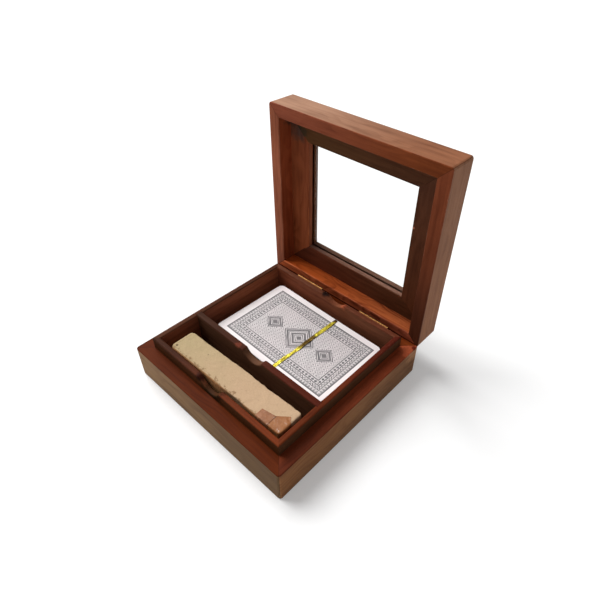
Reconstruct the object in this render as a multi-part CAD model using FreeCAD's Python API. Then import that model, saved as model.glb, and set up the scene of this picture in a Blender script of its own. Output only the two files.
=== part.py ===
import FreeCAD, Part
import math
import os

# A hinged wooden box for playing cards, standing open: a base of mitred rails round a
# raised liner with two compartments, a glazed lid on two brass hinges whose leaves are
# let into saw kerfs, a tied pack of cards and a paper packet.
#
# Frame: X runs along the hinge line, -Y is the front, +Z is up. The origin is the centre
# of the underside. All lengths are in millimetres. The lid is built shut and then swung
# open about the hinge axis.

Vector = FreeCAD.Vector

# ------------------------------------------------------------------ driving dimensions

# Pack of cards, of bridge size, round which the box is made
CARD_LENGTH = 88.9
CARD_WIDTH = 57.15
CARD_THICKNESS = 0.32
CARD_CORNER = 3.2
PACK_HEIGHT = 15.6            # of the cards under the top one
PACK_END_ROOM = 5.55          # from each end of the pack to its compartment's wall
PACK_SIDE_ROOM = 3.625
PACK_OFFSET = (1.15, -0.3)    # of the pack's middle from the compartment's
PACK_YAW = -1.2
TOP_CARD_YAW = 0.3            # of the top card on the pack
RIBBON_WIDTH = 2.0
RIBBON_THICKNESS = 0.25
RIBBON_OFFSET = 7.3           # from the pack's middle, along X
RIBBON_SLACK = 0.4            # between the ribbon and the pack's long sides

# Case
FRONT_COMPARTMENT = 26.4      # its clear depth
BASE_HEIGHT = 22.4            # underside to the ledge that the lid's rim meets
BASE_WALL = 8.1               # thickness of a base rail
CORNER_RADIUS = 1.8           # upright outer corners
ROUND_OVER = 1.0              # bottom edge of the base and top edge of the lid
ARRIS_RADIUS = 0.5            # edges of the ledge and of the lid's rim

# Bottom board, let into a rebate in the base rails
BOARD_THICKNESS = 4.0
REBATE_WIDTH = 4.0

# Liner that stands up inside the base rails
LINER_THICKNESS = 3.4
LINER_RISE = 8.0              # height above the ledge
LINER_EDGE_RADIUS = 0.9

# Divider between the two compartments
DIVIDER_THICKNESS = 4.2
HOUSING_DEPTH = 1.2           # how far each end is let into the liner
DIVIDER_EDGE_RADIUS = 0.9

# Finger notches, each cut by hand: offset along X and depth
NOTCH_RADIUS = 9.0
NOTCH_SHOULDER = 2.0
FRONT_NOTCH = (-1.1, 6.2)
DIVIDER_NOTCH = (0.3, 4.6)
BACK_NOTCH = (3.4, 3.2)

# Lid
LID_GAP = 0.4                 # between the shut lid's rim and the ledge
LID_HEIGHT = 19.3
LID_WALL = 7.6
LID_RECESS = 10.2             # from the rim to the inner face of the window frame
OPEN_ANGLE = 90.0             # of the lid, as it stands

# Window
WINDOW_SIDE_RAIL = 15.3       # width of the left and right rails round the opening
WINDOW_END_RAIL = 14.6        # width of the front and back ones
WINDOW_EDGE_RADIUS = 0.5
GLASS_THICKNESS = 2.0
GLASS_CLEARANCE = 0.15
GLAZING_REBATE = 4.0          # width of the rebate that holds glass and beads
BEAD_HEIGHT = 3.5
BEAD_SETBACK = 0.6            # of the bead's edge from the outer sight edge

# Hinges, their leaves upright in kerfs sawn in the back rails
HINGE_LENGTH = 23.0
HINGE_INSET = 33.7            # from the box's side to the hinge's middle
AXIS_SETBACK = 1.5            # of the pin's axis, in from the back faces
STOP_GAP = 0.05               # between the back bevels that stop the lid upright
LEAF_REACH = 5.6              # from the pin's axis to the leaf's edge
LEAF_THICKNESS = 0.8
LEAF_OFFSET = 0.8             # of the leaf's middle, to the front of the axis
KNUCKLE_RADIUS = 1.25
KNUCKLE_COUNT = 5             # the base leaf has the odd ones
KNUCKLE_END_GAP = 0.1         # each side of a knuckle
KNUCKLE_SIDE_GAP = 0.15       # from a knuckle to the other leaf
KNUCKLE_ROOM = 0.6            # from a knuckle to the wood
PIN_RADIUS = 0.6
PIN_CLEARANCE = 0.05

# Flat-headed nails through the leaves, driven in from the back faces
NAIL_SPREAD = 15.2            # between the two nails of a leaf
NAIL_REACH = 3.8              # from the pin's axis
NAIL_LENGTH = 5.5
NAIL_RADIUS = 0.5
NAIL_HEAD_RADIUS = 1.1
NAIL_HEAD_DEPTH = 0.6
NAIL_CLEARANCE = 0.04

# Paper packet, lying a little askew in the front compartment
PACKET_END_ROOM = 10.0        # left along the compartment's width
PACKET_SIDE_ROOM = 9.5        # left across its depth
PACKET_YAW = 0.9
PACKET_EDGE_RADIUS = 1.4
PACKET_TOP_GAP = 0.6          # from its top up to the liner's top
PACKET_OFFSET = (3.4, -3.7)   # of its middle from the compartment's
TAPE_THICKNESS = 0.2
TAPE_DROP = 14.0              # how far the tape runs down the front and the end
TAPE_OUTLINE = [(17.5, 0.0), (17.6, 5.3), (9.0, 6.7), (3.0, 11.4), (0.0, 8.1)]

# ------------------------------------------------------------------- derived levels

COMPARTMENT_WIDTH = CARD_LENGTH + 2 * PACK_END_ROOM
BACK_COMPARTMENT = CARD_WIDTH + 2 * PACK_SIDE_ROOM
LINER_INNER_X = COMPARTMENT_WIDTH / 2
LINER_INNER_Y = (FRONT_COMPARTMENT + DIVIDER_THICKNESS + BACK_COMPARTMENT) / 2
LINER_OUTER_X = LINER_INNER_X + LINER_THICKNESS
LINER_OUTER_Y = LINER_INNER_Y + LINER_THICKNESS
HALF_WIDTH = LINER_OUTER_X + BASE_WALL
HALF_DEPTH = LINER_OUTER_Y + BASE_WALL
DIVIDER_Y = -LINER_INNER_Y + FRONT_COMPARTMENT + DIVIDER_THICKNESS / 2
PACKET_LENGTH = COMPARTMENT_WIDTH - PACKET_END_ROOM
PACKET_WIDTH = FRONT_COMPARTMENT - PACKET_SIDE_ROOM
WINDOW_HALF_X = HALF_WIDTH - LID_WALL - WINDOW_SIDE_RAIL
WINDOW_HALF_Y = HALF_DEPTH - LID_WALL - WINDOW_END_RAIL
HINGE_CENTRES = {"left": HINGE_INSET - HALF_WIDTH, "right": HALF_WIDTH - HINGE_INSET}

LINER_TOP = BASE_HEIGHT + LINER_RISE
LID_RIM = BASE_HEIGHT + LID_GAP
LID_TOP = LID_RIM + LID_HEIGHT
WINDOW_INNER_FACE = LID_RIM + LID_RECESS
GLASS_UNDERSIDE = WINDOW_INNER_FACE + BEAD_HEIGHT
GLASS_TOP = GLASS_UNDERSIDE + GLASS_THICKNESS

HINGE_AXIS = Vector(0, HALF_DEPTH - AXIS_SETBACK, BASE_HEIGHT + LID_GAP / 2)
BACK_BEVEL = AXIS_SETBACK - LID_GAP / 2 + STOP_GAP / math.sqrt(2)

MARGIN = 20.0                 # how far a cutting tool runs past what it cuts
SIDES = ("front", "back", "left", "right")


# ------------------------------------------------------------------------- helpers

def block(low, high):
    """A box between two opposite corners."""
    low, high = Vector(*low), Vector(*high)
    size = high - low
    return Part.makeBox(size.x, size.y, size.z, low)


def rod(radius, start, end):
    """A cylinder between two points."""
    start, end = Vector(*start), Vector(*end)
    return Part.makeCylinder(radius, (end - start).Length, start, end - start)


def rounded(shape, radius, wanted):
    """The shape with every edge that passes the test filleted."""
    return shape.makeFillet(radius, [edge for edge in shape.Edges if wanted(edge)])


def is_upright(edge):
    return edge.BoundBox.ZLength > 1e-3 and edge.BoundBox.XLength + edge.BoundBox.YLength < 1e-3


def lies_at(edge, z):
    return abs(edge.BoundBox.ZMin - z) < 1e-3 and abs(edge.BoundBox.ZMax - z) < 1e-3


def rounded_block(half_x, half_y, z_low, z_high, corner):
    """A box centred on the Z axis with rounded upright corners."""
    box = block((-half_x, -half_y, z_low), (half_x, half_y, z_high))
    return rounded(box, corner, is_upright)


def back_bevel(z_edge, rise):
    """What the bevel takes off the back edge of the ledge or of the lid's rim. Both
    bevels meet when the lid stands upright, and hold it there. rise is the direction
    from the edge into the wood."""
    profile = [(HALF_DEPTH - BACK_BEVEL, z_edge), (HALF_DEPTH, z_edge + rise * BACK_BEVEL),
               (HALF_DEPTH + MARGIN, z_edge + rise * BACK_BEVEL),
               (HALF_DEPTH + MARGIN, z_edge - rise * MARGIN),
               (HALF_DEPTH - BACK_BEVEL, z_edge - rise * MARGIN)]
    corners = [Vector(-HALF_WIDTH - MARGIN, y, z) for y, z in profile]
    face = Part.Face(Part.makePolygon(corners + corners[:1]))
    return face.extrude(Vector(2 * (HALF_WIDTH + MARGIN), 0, 0))


def mitre_wedge(side, half_x, half_y, z_low, z_high):
    """The part of a frame that belongs to one side, bounded by 45 degree planes through
    the corners of the outline."""
    depth = min(half_x, half_y) * 0.9
    front_back = side in ("front", "back")
    across = half_x if front_back else half_y
    away = half_y if front_back else half_x
    points = [(-across - MARGIN, away + MARGIN), (across + MARGIN, away + MARGIN),
              (across - depth, away - depth), (-across + depth, away - depth)]
    turn = {"back": lambda u, v: (u, v), "front": lambda u, v: (u, -v),
            "right": lambda u, v: (v, u), "left": lambda u, v: (-v, u)}[side]
    corners = [Vector(*turn(u, v), z_low - MARGIN) for u, v in points]
    face = Part.Face(Part.makePolygon(corners + corners[:1]))
    return face.extrude(Vector(0, 0, z_high - z_low + 2 * MARGIN))


def mitred_rails(ring, half_x, half_y):
    """A ring-shaped frame cut at its mitres into its four rails."""
    box = ring.BoundBox
    return {side: ring.common(mitre_wedge(side, half_x, half_y, box.ZMin, box.ZMax))
            for side in SIDES}


# ---------------------------------------------------------------------- the hinges

def knuckle_span(index):
    """Start and end of a knuckle along the pin, from the hinge's middle."""
    pitch = HINGE_LENGTH / KNUCKLE_COUNT
    start = -HINGE_LENGTH / 2 + index * pitch
    return start + KNUCKLE_END_GAP, start + pitch - KNUCKLE_END_GAP


def nail_places(centre):
    return [centre - NAIL_SPREAD / 2, centre + NAIL_SPREAD / 2]


def leaf_plate(centre, rise):
    """The flat part of a leaf, and the kerf that it fills. rise is the direction from the
    pin's axis into the wood while the lid is shut."""
    y, z = HINGE_AXIS.y - LEAF_OFFSET, HINGE_AXIS.z
    half = HINGE_LENGTH / 2
    low, high = sorted((z, z + rise * LEAF_REACH))
    return block((centre - half, y - LEAF_THICKNESS / 2, low),
                 (centre + half, y + LEAF_THICKNESS / 2, high))


def hinge_leaf(centre, rise):
    """A leaf with its knuckles, pin bore and nail holes."""
    y, z = HINGE_AXIS.y, HINGE_AXIS.z
    mine = range(0 if rise < 0 else 1, KNUCKLE_COUNT, 2)
    others = range(1 if rise < 0 else 0, KNUCKLE_COUNT, 2)
    half = HINGE_LENGTH / 2
    leaf = leaf_plate(centre, rise)
    room = KNUCKLE_RADIUS + KNUCKLE_SIDE_GAP
    for index in others:
        start, end = knuckle_span(index)
        start, end = start - 2 * KNUCKLE_END_GAP, end + 2 * KNUCKLE_END_GAP
        leaf = leaf.cut(block((centre + start, y - room, z - room),
                              (centre + end, y + room, z + room)))
    for index in mine:
        start, end = knuckle_span(index)
        leaf = leaf.fuse(rod(KNUCKLE_RADIUS, (centre + start, y, z), (centre + end, y, z)))
    leaf = leaf.cut(rod(PIN_RADIUS + PIN_CLEARANCE, (centre - half - 1, y, z),
                        (centre + half + 1, y, z)))
    for x in nail_places(centre):
        leaf = leaf.cut(nail(x, rise, NAIL_CLEARANCE))
    return leaf.removeSplitter()


def hinge_pin(centre):
    half = HINGE_LENGTH / 2
    y, z = HINGE_AXIS.y, HINGE_AXIS.z
    return rod(PIN_RADIUS, (centre - half, y, z), (centre + half, y, z))


def nail(x, rise, allowance=0.0):
    """A nail through a leaf, its head flush with the back face. With an allowance it is
    the hole that the nail goes in."""
    top = Vector(x, HALF_DEPTH, HINGE_AXIS.z + rise * NAIL_REACH)
    inwards = Vector(0, -1, 0)
    radius = NAIL_RADIUS + allowance
    head = Part.makeCone(NAIL_HEAD_RADIUS + allowance, radius, NAIL_HEAD_DEPTH, top, inwards)
    shank = Part.makeCylinder(radius, NAIL_LENGTH + allowance, top, inwards)
    return head.fuse(shank)


def hinge_cuts(rise):
    """What the hinges take out of a back rail: a kerf for each leaf, room for the knuckles
    and a hole for each nail."""
    y, z = HINGE_AXIS.y, HINGE_AXIS.z
    half = HINGE_LENGTH / 2
    cuts = []
    for centre in HINGE_CENTRES.values():
        cuts.append(leaf_plate(centre, rise))
        cuts.append(rod(KNUCKLE_RADIUS + KNUCKLE_ROOM, (centre - half, y, z),
                        (centre + half, y, z)))
        cuts += [nail(x, rise, NAIL_CLEARANCE) for x in nail_places(centre)]
    return cuts


# ------------------------------------------------------------------------ the base

def base_rails():
    """Four mitred rails, rebated below for the board. Their top is the ledge."""
    outer = rounded_block(HALF_WIDTH, HALF_DEPTH, 0, BASE_HEIGHT, CORNER_RADIUS)
    outer = rounded(outer, ROUND_OVER, lambda edge: lies_at(edge, 0))
    outer = rounded(outer, ARRIS_RADIUS, lambda edge: lies_at(edge, BASE_HEIGHT))
    hollow = block((-LINER_OUTER_X, -LINER_OUTER_Y, -1),
                   (LINER_OUTER_X, LINER_OUTER_Y, BASE_HEIGHT + 1))
    ring = outer.cut(hollow).cut(board_outline(-1, BOARD_THICKNESS))
    ring = ring.cut(back_bevel(BASE_HEIGHT, -1))
    rails = mitred_rails(ring, HALF_WIDTH, HALF_DEPTH)
    for cut in hinge_cuts(-1):
        rails["back"] = rails["back"].cut(cut)
    return rails


def board_outline(z_low, z_high):
    half_x, half_y = LINER_OUTER_X + REBATE_WIDTH, LINER_OUTER_Y + REBATE_WIDTH
    return block((-half_x, -half_y, z_low), (half_x, half_y, z_high))


def notched_board(half_length, thickness, z_low, z_high, edge_radius, notch=None):
    """An upright board along X, centred on the XZ plane, with its top edges rounded and
    a finger notch with rounded shoulders in its top."""
    def at(x, z):
        return Vector(x, -thickness / 2, z)

    corners = [at(half_length, z_high), at(half_length, z_low),
               at(-half_length, z_low), at(-half_length, z_high)]
    edges = [Part.makeLine(a, b) for a, b in zip(corners, corners[1:])]
    if notch is None:
        edges.append(Part.makeLine(corners[-1], corners[0]))
    else:
        edges += notch_edges(at, half_length, z_high, *notch)
    outline = Part.Wire(Part.__sortEdges__(edges))
    board = Part.Face(outline).extrude(Vector(0, thickness, 0))
    return rounded(board, edge_radius, lambda edge: is_top_line(edge, thickness, z_low, z_high))


def notch_edges(at, half_length, z_top, offset, depth):
    """The top line of a board with a notch: two shoulders tangent to a round cut."""
    centre_z = z_top - depth + NOTCH_RADIUS
    rise = centre_z - (z_top - NOTCH_SHOULDER)
    reach = math.sqrt((NOTCH_RADIUS + NOTCH_SHOULDER) ** 2 - rise ** 2)
    lean = math.atan2(reach, rise)          # of the line between the arcs' centres

    def on_shoulder(side, angle):
        return at(offset + side * (reach - NOTCH_SHOULDER * math.sin(angle)),
                  z_top - NOTCH_SHOULDER + NOTCH_SHOULDER * math.cos(angle))

    edges = []
    for side in (-1, 1):
        edges.append(Part.makeLine(at(side * half_length, z_top), on_shoulder(side, 0)))
        edges.append(Part.Arc(on_shoulder(side, 0), on_shoulder(side, lean / 2),
                              on_shoulder(side, lean)).toShape())
    edges.append(Part.Arc(on_shoulder(-1, lean), at(offset, z_top - depth),
                          on_shoulder(1, lean)).toShape())
    return edges


def is_top_line(edge, thickness, z_low, z_high):
    """Whether an edge of an upright board runs along its top, on either face."""
    box = edge.BoundBox
    on_face = box.YLength < 1e-3 and abs(abs(box.YMin) - thickness / 2) < 1e-3
    return on_face and box.XLength > 1e-3 and box.ZMin > (z_low + z_high) / 2


def liner_walls():
    """Four mitred walls that stand on the board inside the rails. The front and back
    ones have finger notches, and the side ones are housed for the divider."""
    cutter = divider(0.0)
    notches = {"front": FRONT_NOTCH, "back": BACK_NOTCH, "left": None, "right": None}
    turns = {"front": 0, "back": 0, "left": 90, "right": 90}
    middle_x = LINER_OUTER_X - LINER_THICKNESS / 2
    middle_y = LINER_OUTER_Y - LINER_THICKNESS / 2
    places = {"front": (0, -middle_y), "back": (0, middle_y),
              "left": (-middle_x, 0), "right": (middle_x, 0)}
    walls = {}
    for side in SIDES:
        half = LINER_OUTER_X if turns[side] == 0 else LINER_OUTER_Y
        wall = notched_board(half, LINER_THICKNESS, BOARD_THICKNESS, LINER_TOP,
                             LINER_EDGE_RADIUS, notches[side])
        wall.rotate(Vector(0, 0, 0), Vector(0, 0, 1), turns[side])
        wall.translate(Vector(*places[side], 0))
        wall = wall.common(mitre_wedge(side, LINER_OUTER_X, LINER_OUTER_Y,
                                       BOARD_THICKNESS, LINER_TOP))
        walls[side] = wall.cut(cutter) if turns[side] else wall
    return walls


def divider(edge_radius=DIVIDER_EDGE_RADIUS):
    """The divider, with its ends in the side walls. With no edge radius it is the
    housing that those ends fill."""
    half = LINER_INNER_X + HOUSING_DEPTH
    if edge_radius:
        board = notched_board(half, DIVIDER_THICKNESS, BOARD_THICKNESS, LINER_TOP,
                              edge_radius, DIVIDER_NOTCH)
    else:
        board = block((-half, -DIVIDER_THICKNESS / 2, BOARD_THICKNESS),
                      (half, DIVIDER_THICKNESS / 2, LINER_TOP + 1))
    board.translate(Vector(0, DIVIDER_Y, 0))
    return board


# ------------------------------------------------------------------------- the lid

def lid_rails():
    """Four mitred rails that carry the window frame. Their lower edge is the rim."""
    outer = rounded_block(HALF_WIDTH, HALF_DEPTH, LID_RIM, LID_TOP, CORNER_RADIUS)
    outer = rounded(outer, ROUND_OVER, lambda edge: lies_at(edge, LID_TOP))
    hollow = block((-HALF_WIDTH + LID_WALL, -HALF_DEPTH + LID_WALL, LID_RIM - 1),
                   (HALF_WIDTH - LID_WALL, HALF_DEPTH - LID_WALL, LID_TOP + 1))
    ring = outer.cut(hollow)
    ring = rounded(ring, ARRIS_RADIUS, lambda edge: lies_at(edge, LID_RIM))
    ring = ring.cut(back_bevel(LID_RIM, 1))
    rails = mitred_rails(ring, HALF_WIDTH, HALF_DEPTH)
    for cut in hinge_cuts(1):
        rails["back"] = rails["back"].cut(cut)
    return rails


def window_rails():
    """Four mitred rails inside the lid's, flush with its top, rebated from below for the
    glass and its beads."""
    half_x, half_y = HALF_WIDTH - LID_WALL, HALF_DEPTH - LID_WALL
    sight_x, sight_y = WINDOW_HALF_X, WINDOW_HALF_Y
    rebate_x, rebate_y = sight_x + GLAZING_REBATE, sight_y + GLAZING_REBATE
    ring = block((-half_x, -half_y, WINDOW_INNER_FACE), (half_x, half_y, LID_TOP))
    ring = ring.cut(block((-sight_x, -sight_y, WINDOW_INNER_FACE - 1),
                          (sight_x, sight_y, LID_TOP + 1)))
    inner = lambda edge: (lies_at(edge, LID_TOP) and
                          edge.BoundBox.Center.x ** 2 < (sight_x + 1e-3) ** 2 and
                          edge.BoundBox.Center.y ** 2 < (sight_y + 1e-3) ** 2)
    ring = rounded(ring, WINDOW_EDGE_RADIUS, inner)
    ring = ring.cut(block((-rebate_x, -rebate_y, WINDOW_INNER_FACE - 1),
                          (rebate_x, rebate_y, GLASS_TOP)))
    return mitred_rails(ring, half_x, half_y)


def glazing_beads():
    """Four mitred beads that hold the glass up against its rebate."""
    half_x = WINDOW_HALF_X + GLAZING_REBATE
    half_y = WINDOW_HALF_Y + GLAZING_REBATE
    open_x = WINDOW_HALF_X + BEAD_SETBACK
    open_y = WINDOW_HALF_Y + BEAD_SETBACK
    ring = block((-half_x, -half_y, WINDOW_INNER_FACE), (half_x, half_y, GLASS_UNDERSIDE))
    ring = ring.cut(block((-open_x, -open_y, WINDOW_INNER_FACE - 1),
                          (open_x, open_y, GLASS_UNDERSIDE + 1)))
    inner = lambda edge: (lies_at(edge, WINDOW_INNER_FACE) and
                          edge.BoundBox.Center.x ** 2 < (open_x + 1e-3) ** 2 and
                          edge.BoundBox.Center.y ** 2 < (open_y + 1e-3) ** 2)
    ring = rounded(ring, WINDOW_EDGE_RADIUS, inner)
    return mitred_rails(ring, half_x, half_y)


def glass_pane():
    half_x = WINDOW_HALF_X + GLAZING_REBATE - GLASS_CLEARANCE
    half_y = WINDOW_HALF_Y + GLAZING_REBATE - GLASS_CLEARANCE
    return block((-half_x, -half_y, GLASS_UNDERSIDE), (half_x, half_y, GLASS_TOP))


def swung_open(shape):
    """A piece of the shut lid, turned to where it stands."""
    shape = shape.copy()
    shape.rotate(HINGE_AXIS, Vector(1, 0, 0), -OPEN_ANGLE)
    return shape


# -------------------------------------------------------------------- the contents

def pack_of_cards():
    """The pack, its top card and the ribbon round it, lying a little askew in the middle
    of the back compartment. The pack lies on the ribbon."""
    along, back = PACK_OFFSET
    middle = Vector(along, LINER_INNER_Y - BACK_COMPARTMENT / 2 + back, 0)
    underside = BOARD_THICKNESS + RIBBON_THICKNESS
    pack_top = underside + PACK_HEIGHT
    card_top = pack_top + CARD_THICKNESS
    half_x, half_y = CARD_LENGTH / 2, CARD_WIDTH / 2
    cards = rounded_block(half_x, half_y, underside, pack_top, CARD_CORNER)
    top_card = rounded_block(half_x, half_y, pack_top, card_top, CARD_CORNER)
    top_card.rotate(Vector(0, 0, 0), Vector(0, 0, 1), TOP_CARD_YAW)
    reach = half_y + RIBBON_SLACK
    ribbon = block((RIBBON_OFFSET - RIBBON_WIDTH / 2, -reach - RIBBON_THICKNESS,
                    BOARD_THICKNESS),
                   (RIBBON_OFFSET + RIBBON_WIDTH / 2, reach + RIBBON_THICKNESS,
                    card_top + RIBBON_THICKNESS))
    ribbon = ribbon.cut(block((RIBBON_OFFSET - RIBBON_WIDTH, -reach, underside),
                              (RIBBON_OFFSET + RIBBON_WIDTH, reach, card_top)))
    pieces = {"card_pack": cards, "top_card": top_card, "pack_ribbon": ribbon}
    for piece in pieces.values():
        piece.rotate(Vector(0, 0, 0), Vector(0, 0, 1), PACK_YAW)
        piece.translate(middle)
    return pieces


def packet_block(grow=0.0):
    """The packet round its own middle, or the same grown outwards on every face but the
    one that it stands on."""
    half_x, half_y = PACKET_LENGTH / 2 + grow, PACKET_WIDTH / 2 + grow
    top = LINER_TOP - PACKET_TOP_GAP + grow
    box = block((-half_x, -half_y, BOARD_THICKNESS), (half_x, half_y, top))
    return rounded(box, PACKET_EDGE_RADIUS + grow,
                   lambda edge: not lies_at(edge, BOARD_THICKNESS))


def packet_tape():
    """Tape folded over the packet's front right corner. Its outline is drawn from that
    corner, leftwards and to the back."""
    shell = packet_block(TAPE_THICKNESS).cut(packet_block())
    right, front = PACKET_LENGTH / 2, -PACKET_WIDTH / 2
    top = LINER_TOP - PACKET_TOP_GAP
    points = [(right - along, front + back) for along, back in TAPE_OUTLINE]
    points.append((right + 1, points[-1][1]))
    points.append((right + 1, front - 1))
    points.append((points[0][0], front - 1))
    corners = [Vector(x, y, top - TAPE_DROP) for x, y in points]
    face = Part.Face(Part.makePolygon(corners + corners[:1]))
    return shell.common(face.extrude(Vector(0, 0, TAPE_DROP + 1)))


def packet():
    """The packet and its tape where they lie."""
    along, back = PACKET_OFFSET
    middle = Vector(along, -LINER_INNER_Y + FRONT_COMPARTMENT / 2 + back, 0)
    pieces = {"paper_packet": packet_block(), "packet_tape": packet_tape()}
    for piece in pieces.values():
        piece.rotate(Vector(0, 0, 0), Vector(0, 0, 1), PACKET_YAW)
        piece.translate(middle)
    return pieces


# ------------------------------------------------------------------------ assembly

def build():
    nodes = {"bottom_board": board_outline(0, BOARD_THICKNESS), "divider": divider()}
    for side, rail in base_rails().items():
        nodes[f"base_{side}_rail"] = rail
    for side, wall in liner_walls().items():
        nodes[f"liner_{side}"] = wall
    for side, rail in lid_rails().items():
        nodes[f"lid_{side}_rail"] = swung_open(rail)
    for side, rail in window_rails().items():
        nodes[f"window_{side}_rail"] = swung_open(rail)
    for side, bead in glazing_beads().items():
        nodes[f"glazing_bead_{side}"] = swung_open(bead)
    nodes["glass_pane"] = swung_open(glass_pane())
    base_nails, lid_nails = [], []
    for side, centre in HINGE_CENTRES.items():
        nodes[f"hinge_{side}_base_leaf"] = hinge_leaf(centre, -1)
        nodes[f"hinge_{side}_lid_leaf"] = swung_open(hinge_leaf(centre, 1))
        nodes[f"hinge_{side}_pin"] = hinge_pin(centre)
        base_nails += [nail(x, -1) for x in nail_places(centre)]
        lid_nails += [swung_open(nail(x, 1)) for x in nail_places(centre)]
    nodes["base_hinge_nails"] = Part.makeCompound(base_nails)
    nodes["lid_hinge_nails"] = Part.makeCompound(lid_nails)
    nodes.update(pack_of_cards())
    nodes.update(packet())
    return nodes


os.makedirs("parts", exist_ok=True)
for name, shape in build().items():
    shape.exportStep(f"parts/{name}.step")
    print(f"{name}: {len(shape.Solids)} solid, {shape.Volume:.1f} mm3, valid {shape.isValid()}")
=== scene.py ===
import math
import random

import bmesh
import bpy
from mathutils import Matrix, Vector
from mathutils import noise as field


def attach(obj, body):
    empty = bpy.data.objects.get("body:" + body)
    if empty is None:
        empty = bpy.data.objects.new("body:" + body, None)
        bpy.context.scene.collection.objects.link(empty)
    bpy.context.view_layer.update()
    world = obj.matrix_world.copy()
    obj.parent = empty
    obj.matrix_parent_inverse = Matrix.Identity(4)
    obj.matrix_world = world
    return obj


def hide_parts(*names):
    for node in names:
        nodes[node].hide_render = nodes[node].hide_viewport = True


# Looks of the playing card box: a hinged hardwood box that stands open, with a glazed
# lid, a tied pack of cards and a paper packet. Lengths are in millimetres unless a
# comment says otherwise, and colours are linear.

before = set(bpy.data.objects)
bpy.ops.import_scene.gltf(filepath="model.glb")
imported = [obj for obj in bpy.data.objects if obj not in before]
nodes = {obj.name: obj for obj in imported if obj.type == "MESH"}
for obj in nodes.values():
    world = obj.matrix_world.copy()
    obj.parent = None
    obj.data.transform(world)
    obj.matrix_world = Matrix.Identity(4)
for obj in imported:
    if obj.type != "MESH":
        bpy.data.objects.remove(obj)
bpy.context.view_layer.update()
scene = bpy.context.scene

MM = 0.001
WHITE = (1.0, 1.0, 1.0)


# ------------------------------------ camera and light

CAMERA_PLACE = (0.154648, -0.136397, 0.238467)  # metres
CAMERA_TURN = (49.345, -1.150, 42.104)          # degrees, XYZ
CAMERA_LENS, CAMERA_SENSOR = 29.3807, 36.0
CAMERA_SHIFT = (-0.040339, -0.005291)           # share of the picture's side
CAMERA_NEAR = 0.01                              # metres

KEY_FROM = (-0.64, -0.03, 0.77)                 # the direction it comes from
KEY_SHARE = 0.91                                # of the plain level, on a level surface
KEY_SPREAD = 47.0                               # degrees
WORLD_LIGHT = 0.29
FLOOR_ALBEDO = (0.77, 0.77, 0.77)
FLOOR_GLOW = 0.235                              # makes the lit floor white to the camera
FLOOR_DROP = 0.1
FLOOR_SIDE = 3000.0


# ------------------------------------ node helpers

class Nodes:
    """A node tree and short ways to add nodes to it. Most calls return an output."""

    def __init__(self, tree):
        self.tree = tree

    def put(self, socket, value):
        if isinstance(value, bpy.types.NodeSocket):
            self.tree.links.new(value, socket)
        elif socket.type == "RGBA" and len(value) == 3:
            socket.default_value = (*value, 1.0)
        else:
            socket.default_value = value

    def node(self, kind, values=(), **settings):
        made = self.tree.nodes.new(kind)
        for key, value in settings.items():
            setattr(made, key, value)
        for key, value in dict(values).items():
            self.put(made.inputs[key], value)
        return made

    def shader_of(self, kind, values):
        return self.node(kind, values).outputs[0]

    def math(self, operation, *values):
        return self.node("ShaderNodeMath", enumerate(values), operation=operation).outputs[0]

    def showing(self):
        """1 for rays that show the white surroundings: the camera's, and what metal and
        glass hand on to it. Light that falls on a matt surface through the glass stays
        at the plain level."""
        path = self.node("ShaderNodeLightPath").outputs
        seen = self.math("MAXIMUM", path["Is Camera Ray"], path["Is Glossy Ray"])
        seen = self.math("MAXIMUM", seen, path["Is Transmission Ray"])
        first = self.math("LESS_THAN", path["Diffuse Depth"], 0.5)
        return self.math("MULTIPLY", seen, first)


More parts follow.
